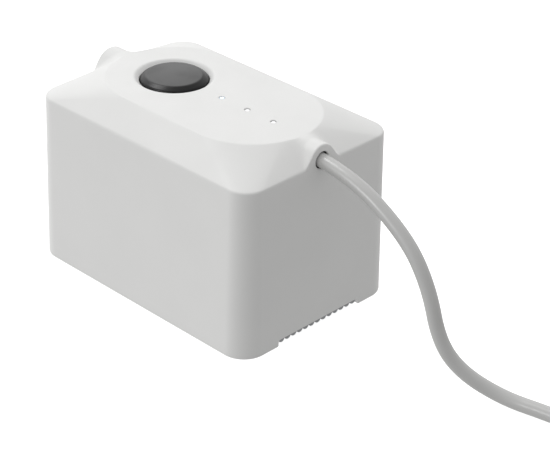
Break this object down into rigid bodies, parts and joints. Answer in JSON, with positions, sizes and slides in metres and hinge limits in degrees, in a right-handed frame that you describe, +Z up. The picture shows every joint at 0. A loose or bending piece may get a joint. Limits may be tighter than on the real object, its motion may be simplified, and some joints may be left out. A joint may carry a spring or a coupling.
{
  "type": "wall battery unit",
  "caption": "Box-shaped battery unit with a domed cover, a round push button, small indicator lights and a mains cord with a flat plug.",
  "frame": {"origin": "centre of the unit's footprint, on the surface that its feet stand on", "axes": "+X along the unit's length towards the end that the cord leaves, +Z up out of the button and the lights"},
  "size_m": [0.3629, 0.1721, 0.1012],
  "materials": {
    "cover_white": "moulded with a very fine grain, satin",
    "base_white": "moulded, plain",
    "button_black": "moulded, satin to semi-gloss",
    "inner_black": "moulded, plain",
    "inner_grey": "moulded, plain",
    "rubber_grey": "moulded",
    "rubber_black": "moulded",
    "screw_steel": "zinc plated",
    "spring_steel": "drawn wire",
    "board_green": "solder resist",
    "lamp_white": "encapsulated",
    "guide_clear": "frosted at the outer end",
    "cell_sleeve": "shrink sleeve",
    "nickel_strip": "rolled strip",
    "strap_tape": "woven tape",
    "ferrite": "sintered",
    "winding_tape": "taped winding",
    "sink_aluminium": "extruded",
    "package_black": "moulded",
    "capacitor_sleeve": "shrink sleeve",
    "relay_case": "moulded",
    "clip_brass": "pressed",
    "fuse_glass": "clear tube",
    "terminal_green": "moulded",
    "cord_grey": "extruded sheath, satin",
    "plug_grey": "moulded, satin",
    "pin_brass": "nickel plated",
    "wire_cover": "extruded"
  },
  "bodies": {
    "housing": {"housing_cover": "cover_white", "base_plate": "base_white", "base_screws": "screw_steel", "foot_pads": "rubber_grey", "button_guide": "inner_black", "button_spring": "spring_steel", "power_switch": "package_black", "top_carrier": "inner_grey", "carrier_screws": "screw_steel", "indicator_board": "board_green", "indicator_screws": "screw_steel", "indicator_leds": "lamp_white", "light_guide_1": "guide_clear", "light_guide_2": "guide_clear", "light_guide_3": "guide_clear", "cell_holder_lower": "inner_black", "cell_holder_upper": "inner_black", "cell_1": "cell_sleeve", "cell_2": "cell_sleeve", "cell_3": "cell_sleeve", "cell_4": "cell_sleeve", "cell_5": "cell_sleeve", "cell_6": "cell_sleeve", "cell_7": "cell_sleeve", "cell_8": "cell_sleeve", "cell_links_lower": "nickel_strip", "cell_links_upper": "nickel_strip", "pack_tie_screws": "screw_steel", "pack_strap": "strap_tape", "power_board": "board_green", "board_brackets": "nickel_strip", "board_screws": "screw_steel", "transformer_core": "ferrite", "transformer_winding": "winding_tape", "heat_sink": "sink_aluminium", "power_transistors": "package_black", "bulk_capacitors": "capacitor_sleeve", "relay": "relay_case", "fuse_clips": "clip_brass", "fuse": "fuse_glass", "terminal_block": "terminal_green", "cord_bush": "rubber_black", "cord_tail": "cord_grey", "cord_clamp": "inner_black", "inlet_clamp": "inner_black", "clamp_screws": "screw_steel", "inlet_socket": "package_black", "inlet_tags": "clip_brass", "power_cord": "cord_grey", "cord_coil": "cord_grey", "cord_tie": "rubber_black", "plug_bush": "plug_grey", "plug_body": "plug_grey", "plug_pins": "pin_brass", "cord_cores": "wire_cover", "inlet_leads": "wire_cover", "cell_leads": "wire_cover", "ribbon_cable": "inner_grey"},
    "button": {"button_cap": "button_black", "switch_plunger": "inner_grey"}
  },
  "joints": [
    {"name": "button_press", "type": "slide", "parent": "housing", "child": "button", "axis": [0, 0, -1], "range_m": [0, 0.003], "stiffness_N_per_m": 600, "springref_m": -0.002, "deforming": ["button_spring"]}
  ]
}
